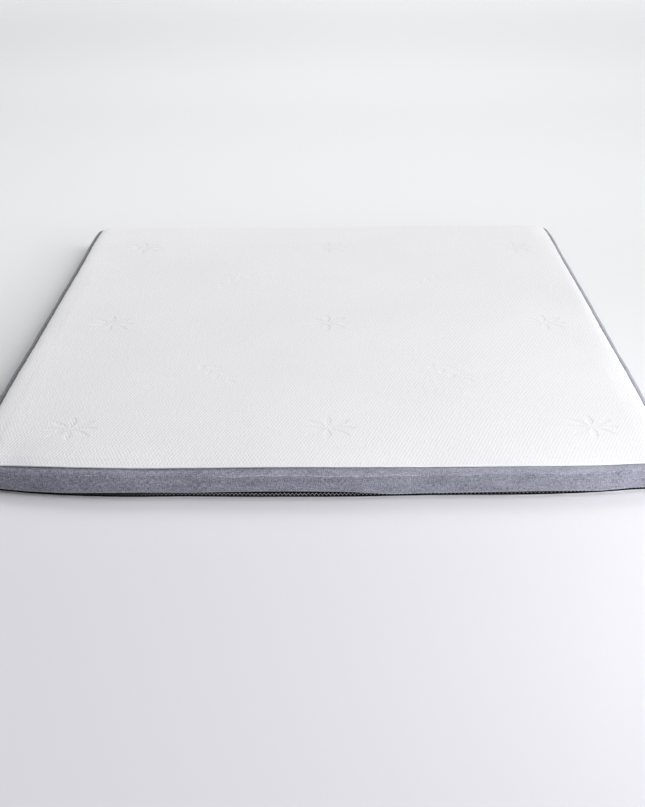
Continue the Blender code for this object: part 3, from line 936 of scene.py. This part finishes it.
def makeTopPanel():
    look = topPanel
    xLines, yLines = (
        gridLines(half - topper["corner"], motifBands(axis), look["fineStep"], look["coarseStep"])
        for axis, half in enumerate((halfWidth, halfLength))
    )
    gx, gy = np.meshgrid(xLines, yLines, indexing="ij")
    height = topper["top"] + leafRelief(gx, gy) + topSwell(gx, gy)
    points = [settled(np.stack([gx, gy, height], -1)).reshape(-1, 3)]
    plainAndShade = [np.zeros(gx.size)]
    stations, inner = rimStations(xLines, yLines)
    rows = rimRows()
    for row in rows:
        ring, ringPlainAndShade = rimRing(stations, *row)
        points.append(ring)
        plainAndShade.append(ringPlainAndShade)

    first, count = gx.size, len(inner)
    faces = gridFaces(*gx.shape)
    for k, here in enumerate(inner):
        following = (k + 1) % count
        there = inner[following]
        quad = [here, there, first + following, first + k]
        faces.append(quad if here != there else [here, first + following, first + k])
    faces += gridFaces(len(rows), count, first, closedColumns=True)
    faces.append([first + (len(rows) - 1) * count + k for k in range(count)])
    attributes = {"plainLipAndShade": np.concatenate(plainAndShade)}
    rimPlaces = np.ones((count * len(rows), 3)) * (1.0, 1.0, 0.0)      # far from every motif
    for key, values in motifCoordinates(gx.ravel(), gy.ravel()).items():
        attributes[key] = np.concatenate([values, rimPlaces])
    piece = makePiece("knitTop", np.concatenate(points), faces, finishes["knit"], attributes)
    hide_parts("top_panel")
    print("top panel:", gx.shape[0], "by", gx.shape[1], "grid,", len(rows), "rim rows")


makeTopPanel()

borderStrip = {
    "cloth": 0.0018,
    "spacing": 0.0045,
    "cornerSteps": 12,
    "rows": 26,
    "jointGap": 0.0004,
    "middle": (               # out and height of the middle of the cloth, from the seam to the hem
        (-0.0034, 0.0566),
        (0.0025, 0.0563),
        (0.0095, 0.0543),
        (0.0139, 0.0510),
        (0.0156, 0.0470),
        (0.0152, 0.0380),
        (0.0154, 0.0240),
        (0.0148, 0.0135),
    ),
    "hangsFrom": 4,           # below this row of the list the cloth is longer where the hem hangs low
    "hemHeight": 0.0032,      # the turned hem's bead
    "hemBead": 0.0004,
    "edgeOut": (0.75, 0.0, -0.75),              # these two round the cloth's edge
    "edgeDown": (0.55, 0.85, 0.55),
    "waves": ((0.31, 0.00030), (0.17, 0.00018), (0.083, 0.00010)),
    "wavesLean": 0.4,
    "pull": 0.00022,          # small puckers under the seam, around a share of the way down
    "pullWaves": ((0.019, 0.4), (0.031, 0.5), (0.047, 0.5)),
    "pullAt": (0.13, 0.09),
    "cornerDip": (0.0012, 0.0045),              # the cloth sinks in at each joint: depth and width
    "heldTo": 0.10,           # share of the way down over which the seam holds it
    "ridgeAt": 0.0222,        # from the seam, along the cloth
    "ridgeWaves": ((0.23, 0.0009), (0.09, 0.0006), (0.041, 0.0003)),
    "creaseEnds": (0.02, 0.03),
    "creaseMean": 0.75,
    "creaseWaves": ((0.037, 0.2), (0.016, 0.15)),
    "groove": {"front": 0.5, "right": 1.0, "back": 1.0, "left": 1.5},            # shade in the seam
    "grooveFades": (0.35, 0.65),                # along the front
    "weaveShift": 3.0,        # so that no two sides are woven alike
    "cutLength": 0.0560,
}
foldShape = {
    "starts": 0.12,           # a fold grows and eases off over these shares of the cloth
    "ends": (0.05, 0.20),
    "ease": 0.6,
    "sharpness": 2.0,
    "frontDepth": 1.0,
    "depth": 0.55,            # on the other sides
}
# Soft folds in the border, listed one by one: share of the side, width, depth, lean, from and to down the
# cloth.
borderFolds = {
    "front": (
        (0.050, 0.030, 0.0011, 0.3, 0.10, 1.00),
        (0.118, 0.050, -0.0008, -0.4, 0.20, 0.90),
        (0.215, 0.020, 0.0006, 0.2, 0.35, 1.00),
        (0.283, 0.060, -0.0009, 0.5, 0.15, 0.80),
        (0.392, 0.026, 0.0007, -0.3, 0.30, 1.00),
        (0.471, 0.045, -0.0006, 0.2, 0.20, 0.85),
        (0.548, 0.018, 0.0007, 0.6, 0.35, 1.00),
        (0.634, 0.055, -0.0009, -0.2, 0.25, 1.00),
        (0.735, 0.024, 0.0006, 0.4, 0.20, 0.75),
        (0.812, 0.045, -0.0007, -0.5, 0.30, 1.00),
        (0.893, 0.030, 0.0010, 0.2, 0.15, 1.00),
        (0.955, 0.024, -0.0009, -0.3, 0.20, 1.00),
    ),
    "right": (
        (0.040, 0.034, 0.0010, -0.3, 0.15, 1.00),
        (0.130, 0.060, -0.0010, 0.4, 0.10, 0.90),
        (0.247, 0.030, 0.0008, 0.2, 0.30, 1.00),
        (0.366, 0.070, -0.0009, -0.5, 0.20, 0.85),
        (0.480, 0.026, 0.0007, 0.3, 0.30, 1.00),
        (0.597, 0.055, -0.0008, 0.2, 0.20, 1.00),
        (0.702, 0.024, 0.0009, -0.4, 0.25, 0.90),
        (0.840, 0.060, -0.0010, 0.3, 0.15, 1.00),
        (0.951, 0.028, 0.0009, 0.2, 0.15, 1.00),
    ),
    "back": (
        (0.061, 0.030, -0.0010, 0.2, 0.15, 1.00),
        (0.190, 0.050, 0.0009, -0.4, 0.20, 0.90),
        (0.332, 0.028, -0.0007, 0.3, 0.30, 1.00),
        (0.455, 0.060, 0.0009, 0.5, 0.15, 0.85),
        (0.610, 0.026, -0.0008, -0.2, 0.30, 1.00),
        (0.748, 0.055, 0.0009, 0.3, 0.20, 1.00),
        (0.902, 0.030, -0.0010, -0.3, 0.15, 1.00),
    ),
    "left": (
        (0.052, 0.028, 0.0009, 0.3, 0.15, 1.00),
        (0.155, 0.060, -0.0009, -0.2, 0.10, 0.90),
        (0.290, 0.030, 0.0008, 0.4, 0.30, 1.00),
        (0.404, 0.065, -0.0010, 0.3, 0.20, 0.85),
        (0.532, 0.024, 0.0007, -0.5, 0.30, 1.00),
        (0.655, 0.050, -0.0008, 0.2, 0.20, 1.00),
        (0.777, 0.028, 0.0009, 0.3, 0.25, 0.90),
        (0.915, 0.050, -0.0009, -0.3, 0.15, 1.00),
    ),
}

# Sharp creases along the ridge: from and to as a share of the side, how far above the ridge, how sharp.
ridgeCreases = {
    "front": (
        (0.015, 0.110, 0.000, 0.35),
        (0.340, 0.655, 0.000, 1.00),
        (0.700, 0.770, 0.003, 0.55),
        (0.900, 0.975, 0.004, 0.45),
    ),
    "right": (
        (0.120, 0.300, 0.001, 0.70),
        (0.520, 0.730, -0.001, 0.90),
    ),
    "back": (
        (0.100, 0.330, 0.000, 0.80),
        (0.560, 0.800, 0.002, 0.70),
    ),
    "left": (
        (0.180, 0.420, 0.001, 0.85),
        (0.640, 0.820, 0.000, 0.60),
    ),
}


def creaseAt(side, s, up):  # metres below the crease, how sharp it is, and how shaded the seam
    strip = borderStrip
    share = s / sideLength(side)
    path = strip["ridgeAt"] + ripple(s, strip["ridgeWaves"], len(side) * 17)
    sharp = np.zeros(len(s))
    starts, ends = strip["creaseEnds"]
    uneven = strip["creaseMean"] + ripple(s, strip["creaseWaves"], 5)
    for low, high, above, strength in ridgeCreases[side]:
        shown = smoothStep(low, low + starts, share) * (1 - smoothStep(high - ends, high, share))
        path = path - above * shown
        sharp = np.maximum(sharp, shown * strength * uneven)
    groove = np.full(len(s), strip["groove"][side])
    if side == "front":
        groove = groove * (1 - smoothStep(*strip["grooveFades"], share))
    return np.stack([up - path, sharp, groove], -1)


def foldShift(side, s, up, total):  # how far the cloth stands out; up is metres from the seam along the cloth
    strip, fold = borderStrip, foldShape
    shift = ripple(s + up * strip["wavesLean"], strip["waves"], len(side) * 7)
    share = up / total
    early, late = fold["ends"]
    deep = fold["frontDepth"] if side == "front" else fold["depth"]
    for place, width, depth, lean, low, high in borderFolds[side]:
        offset = s - place * sideLength(side) - lean * (up - total / 2)
        eased = 1 - fold["ease"] * smoothStep(high - early, high + late, share)
        shown = smoothStep(low - fold["starts"], low + fold["starts"], share) * eased
        shift = shift + depth * shown * np.exp(-((offset / width) ** 2) * fold["sharpness"]) * deep
    at, reach = strip["pullAt"]
    pull = ripple(s, strip["pullWaves"], len(side) * 13)
    shift = shift + strip["pull"] * pull * np.exp(-((share - at) / reach) ** 2)
    dip, reach = strip["cornerDip"]
    ends = np.minimum(s, sideLength(side) - s)
    shift = shift - dip * np.exp(-((ends / reach) ** 2))
    return shift * smoothStep(0.0, strip["heldTo"], share)


def hemHang(height):  # 1 at the hem, 0 from the ridge up
    middle = borderStrip["middle"]
    return 1.0 - smoothStep(middle[-1][1], middle[borderStrip["hangsFrom"]][1], height)


def jointedSteps(side, strip):  # places along a side, short of the joint at each end
    s = sideSteps(side, strip["spacing"], strip["cornerSteps"])
    s[0] += borderStrip["jointGap"] / 2
    s[-1] -= borderStrip["jointGap"] / 2
    return s


def makeBorder(side):
    strip = borderStrip
    middle, normal, up = sectionCurve(strip["middle"], strip["rows"])
    total = up[-1]
    s = jointedSteps(side, strip)
    bead = strip["hemBead"] * smoothStep(total - strip["hemHeight"], total - strip["hemHeight"] * 0.5, up)
    half = strip["cloth"] / 2
    loop = [(k, half + bead[k], 0.0) for k in range(len(up))]
    for edgeOut, edgeDown in zip(strip["edgeOut"], strip["edgeDown"]):
        loop.append((len(up) - 1, half * edgeOut + np.sign(edgeOut) * bead[-1], half * edgeDown))
    loop += [(k, -half, 0.0) for k in reversed(range(len(up)))]
    rings, weave, crease = [], [], []
    for k, lift, down in loop:
        shift = foldShift(side, s, up[k], total)
        leanOut, leanUp = normal[k] if normal[k][0] >= 0 else -normal[k]
        out = middle[k][0] + leanOut * (lift + shift) + leanUp * down
        height = middle[k][1] + leanUp * (lift + shift) - leanOut * down
        rings.append(onSide(side, s, out, height, 1.0, hemHang(height)))
        along = s + sides[side][0] * strip["weaveShift"]
        weave.append(np.stack([along, np.full(len(s), up[k] + down), np.full(len(s), total - up[k])], -1))
        crease.append(creaseAt(side, s, up[k]))
    points, faces = np.concatenate(rings), stripFaces(len(loop), len(s))
    attributes = {"weave": np.concatenate(weave), "crease": np.concatenate(crease)}
    finish = finishes["heather"]
    piece = makePiece("border_cloth_" + side, points, faces, finish, attributes)
    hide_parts("border_" + side)
    return piece


zipBand = {
    "tape": 0.0014,
    "face": 0.0106,           # out of the tape's face
    "low": 0.0024,
    "high": 0.0175,
    "rows": 7,
    "spacing": 0.0080,
    "cornerSteps": 10,
    "toothPitch": 0.0022,
    "toothHalf": 0.0024,      # half of a tooth's height
    "toothRadius": 0.00055,
    "toothLean": 0.0004,
    "toothOut": 0.0003,       # a tooth's middle and the thread's stand this far off the tape's face
    "threadOut": 0.0009,
    "coilHeight": 0.0084,     # middle of the coil
    "zigzagPeriod": 0.0077,
    "zigzagHalf": 0.0021,
    "threadRadius": 0.00085,
}


def makeZipTape(side):
    band = zipBand
    s = jointedSteps(side, band)
    heights = np.linspace(band["low"], band["high"], band["rows"])
    loop = [(band["face"], h) for h in heights] + [(band["face"] - band["tape"], h) for h in heights[::-1]]
    points = np.concatenate([onSide(side, s, out, height, 0.0) for out, height in loop])
    weave = [np.stack([s, np.full(len(s), height), 0 * s], -1) for _, height in loop]
    faces = stripFaces(len(loop), len(s))
    attributes = {"weave": np.concatenate(weave)}
    piece = makePiece("zip_tape_" + side, points, faces, finishes["tape"], attributes)
    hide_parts("zip_" + side)
    return piece


# A short length of thread or coil: four rings of a small spindle, at shares of its length and of its radius.
spindle = {
    "sides": 6,
    "along": (-0.5, -0.36, 0.36, 0.5),
    "girth": (0.35, 1.0, 1.0, 0.35),
    "waisted": (1.0, 0.28, 0.28, 1.0),
}


def manySpindles(centres, runs, lifts, length, radius, shape="girth"):  # joined meshes, one for each centre
    sideCount = spindle["sides"]
    angles = np.arange(sideCount) * 2 * np.pi / sideCount
    runs = runs / np.linalg.norm(runs, axis=1)[:, None]
    across = np.cross(runs, lifts)
    across /= np.linalg.norm(across, axis=1)[:, None]
    over = np.cross(across, runs)
    rings = []
    for at, girth in zip(spindle["along"], spindle[shape]):
        for angle in angles:
            offset = across * math.cos(angle) + over * math.sin(angle)
            rings.append(centres + runs * (at * length) + offset * (radius * girth))
    points = np.stack(rings, 1)
    ringCount = len(spindle["along"])
    one = gridFaces(ringCount, sideCount, closedColumns=True)
    caps = [list(range(sideCount)), [(ringCount - 1) * sideCount + k for k in range(sideCount)]]
    size = ringCount * sideCount
    faces = []
    for n in range(len(centres)):
        faces += [[v + n * size for v in face] for face in one + caps]
    return points.reshape(-1, 3), faces


def makeCoil(side):
    band = zipBand
    end = sideLength(side)
    s = np.arange(band["toothPitch"], end - band["toothPitch"] / 2, band["toothPitch"])
    low, high = (
        onSide(side, s + way * band["toothLean"], band["face"] + band["toothOut"],
               band["coilHeight"] + way * band["toothHalf"], 0.0)
        for way in (-1, 1)
    )
    length, radius = 2 * band["toothHalf"], band["toothRadius"]
    points, faces = manySpindles((low + high) / 2, high - low, outward(side, s), length, radius)
    return makePiece("zip_coil_" + side, points, faces, finishes["coil"])


def makeZigzag(side):
    band = zipBand
    end = sideLength(side)
    turns = np.arange(band["zigzagPeriod"] / 2, end - band["zigzagPeriod"] / 4, band["zigzagPeriod"] / 2)
    swing = band["zigzagHalf"] * np.where(np.arange(len(turns)) % 2 == 0, 1.0, -1.0)
    corners = onSide(side, turns, band["face"] + band["threadOut"], band["coilHeight"] + swing, 0.0)
    lifts = outward(side, (turns[1:] + turns[:-1]) / 2)
    runs = corners[1:] - corners[:-1]
    length = float(np.linalg.norm(runs, axis=1).mean())
    middles = (corners[1:] + corners[:-1]) / 2
    points, faces = manySpindles(middles, runs, lifts, length, band["threadRadius"], "waisted")
    return makePiece("zip_zigzag_" + side, points, faces, finishes["zipThread"])


hemStitch = {
    "pitch": 0.0042,
    "length": 0.0031,
    "radius": 0.00032,
    "aboveHem": 0.0042,
    "proud": 0.00008,         # its middle stands this far off the cloth
    "ahead": 0.0005,          # a place this far on gives each stitch its direction
}


def makeHemStitches(side):
    strip = borderStrip
    middle, _, up = sectionCurve(strip["middle"], strip["rows"] * 4)
    k = int(np.searchsorted(up, up[-1] - hemStitch["aboveHem"]))
    s = np.arange(hemStitch["pitch"], sideLength(side) - hemStitch["pitch"] / 2, hemStitch["pitch"])
    out = middle[k][0] + strip["cloth"] / 2 + hemStitch["proud"] + foldShift(side, s, up[k], up[-1])
    hang = hemHang(middle[k][1])
    centres = onSide(side, s, out, middle[k][1], 1.0, hang)
    ahead = onSide(side, s + hemStitch["ahead"], out, middle[k][1], 1.0, hang)
    length, radius = hemStitch["length"], hemStitch["radius"]
    points, faces = manySpindles(centres, ahead - centres, outward(side, s), length, radius)
    return makePiece("hem_stitches_" + side, points, faces, finishes["hemThread"])


for side in sides:
    border = makeBorder(side)
    stitches = makeHemStitches(side)
    cut = (sideLength(side), borderStrip["cutLength"])
    tape = makeZipTape(side)
    trims = [makeCoil(side), makeZigzag(side)]
    tapeCut = (sideLength(side), zipBand["high"] - zipBand["low"])
print("border and zip made on", len(sides), "sides")

undersideCloth = {
    "edge": 0.0100,
    "cloth": 0.0020,
    "bevel": (0.0007, 0.35),  # how far in, and share of the thickness
    "spacing": 0.020,
    "cornerSteps": 10,
}


def makeUnderside():
    cloth = undersideCloth["cloth"]
    edge = undersideCloth["edge"]
    bevelIn, bevelUp = undersideCloth["bevel"]
    section = (
        (edge - bevelIn, 0.0),
        (edge, cloth * bevelUp),
        (edge, cloth * (1 - bevelUp)),
        (edge - bevelIn, cloth),
    )
    rings = []
    for out, height in section:
        ring = []
        for side in sides:
            s = sideSteps(side, undersideCloth["spacing"], undersideCloth["cornerSteps"])[:-1]
            ring.append(onSide(side, s, out, height, 0.0))
        rings.append(np.concatenate(ring))
    count = len(rings[0])
    faces = gridFaces(len(rings), count, closedColumns=True)
    faces.append(list(range(count)))
    faces.append([(len(rings) - 1) * count + k for k in range(count)])
    points = np.concatenate(rings)
    piece = makePiece("undersideCloth", points, faces, finishes["underside"])
    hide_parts("bottom_panel")


makeUnderside()

room = {
    "floorHalf": 90.0,
    "nearFloor": (0.780, 0.768, 0.824),
    "farFloor": (0.880, 0.884, 0.892),
    "litFloor": (0.740, 0.744, 0.752),   # under the lamps far behind, so that the floor looks even
    "leftFloor": 0.10,                   # painted shade: how much darker the floor is far to the left
    "nearEnds": (-1.5, 0.2),             # these say where along Y or X one tone turns into the next
    "litStarts": (1.2, 3.8),
    "litEnds": (5.0, 9.5),
    "leftEnds": (-2.6, 0.8),
    "leftStarts": (0.5, 2.0),
    "dome": (0.98, 0.985, 1.0),
    "domeStrength": 0.20,
    "sunPower": 1.93,                    # a wide soft light from the right
    "sunAngle": 50.0,
    "sunHeight": 35.0,
    "sunPlace": (5.0, 0.0, 4.0),
}
# Area lights: place, what each faces, size across and up, power.
studioLights = {
    "farBehind": ((0.0, 16.0, 9.0), (0.0, 16.0, 0.0), 24.0, 16.0, 1250.0),
    "behind": ((0.0, 4.2, 3.6), (0.0, 3.4, 0.0), 6.0, 3.5, 91.0),
    "keyRight": ((3.2, -2.6, 0.8), (0.5, -0.9, 0.05), 1.6, 1.0, 78.0),
    "corner": ((1.9, -1.7, 0.6), (0.6, -1.0, 0.05), 0.7, 0.7, 19.0),
}


def hangLamp(name, lamp, place, facing):
    holder = bpy.data.objects.new(name, lamp)
    holder.location = place
    holder.visible_camera = False
    holder.rotation_euler = facing.to_track_quat("-Z", "Y").to_euler()
    bpy.context.scene.collection.objects.link(holder)


def makeFloor():
    half = room["floorHalf"]
    corners = [(-half, -half, 0), (half, -half, 0), (half, half, 0), (-half, half, 0)]
    mesh = bpy.data.meshes.new("floor")
    mesh.from_pydata(corners, [], [(0, 1, 2, 3)])
    floor = bpy.data.objects.new("floor", mesh)
    bpy.context.scene.collection.objects.link(floor)
    paint = FinishMaker("paleFloor", {"Roughness": 0.6, "Specular IOR Level": 0.25})
    x, y, _ = paint.parts(paint.place())
    lit = paint.fade(y, *room["litStarts"]) * (1.0 - paint.fade(y, *room["litEnds"]))
    far = paint.between(lit, room["farFloor"], room["litFloor"])
    floorTone = paint.between(paint.fade(y, *room["nearEnds"]), room["nearFloor"], far)
    # painted shade on the floor far to the left
    left = (1.0 - paint.fade(x, *room["leftEnds"])) * paint.fade(y, *room["leftStarts"])
    paint.colour(paint.between(left * room["leftFloor"], floorTone, (0.0, 0.0, 0.0)))
    mesh.materials.append(paint.material)


def makeLamps():
    world = bpy.data.worlds.new("studio")
    bpy.context.scene.world = world
    world.use_nodes = True
    sky = world.node_tree.nodes["Background"]
    sky.inputs[0].default_value = (*room["dome"], 1.0)
    sky.inputs[1].default_value = room["domeStrength"]
    for name, (place, target, across, up, power) in studioLights.items():
        lamp = bpy.data.lights.new(name, "AREA")
        lamp.shape = "RECTANGLE"
        lamp.size = across
        lamp.size_y = up
        lamp.energy = power
        hangLamp(name, lamp, place, Vector(target) - Vector(place))
    sun = bpy.data.lights.new("sideSun", "SUN")
    sun.angle = math.radians(room["sunAngle"])
    sun.energy = room["sunPower"]
    height = math.radians(room["sunHeight"])
    hangLamp("sideSun", sun, room["sunPlace"], Vector((-math.cos(height), 0.0, -math.sin(height))))


cameraView = {
    "sensor": 36.0,
    "lens": 68.834,
    "place": (0.0212, -3.7106, 1.1766),
    "down": 19.920,           # degrees
    "left": 0.339,
    "tilt": -0.3015,
}


def makeCamera():
    down, turn, tilt = (math.radians(cameraView[key]) for key in ("down", "left", "tilt"))
    forward = Vector((-math.sin(turn) * math.cos(down), math.cos(turn) * math.cos(down), -math.sin(down)))
    right = Vector((math.cos(turn), math.sin(turn), 0.0))
    up = right.cross(forward)
    tiltedRight = right * math.cos(tilt) + up * math.sin(tilt)
    tiltedUp = up * math.cos(tilt) - right * math.sin(tilt)
    camera = bpy.data.objects.new("camera", bpy.data.cameras.new("camera"))
    camera.data.sensor_width = cameraView["sensor"]
    camera.data.lens = cameraView["lens"]
    facing = Matrix((tiltedRight, tiltedUp, -forward)).transposed().to_4x4()
    camera.matrix_world = Matrix.Translation(cameraView["place"]) @ facing
    bpy.context.scene.collection.objects.link(camera)
    bpy.context.scene.camera = camera


makeFloor()
makeLamps()
makeCamera()
bpy.context.scene.view_settings.view_transform = "Standard"
print("room, lights and camera made")
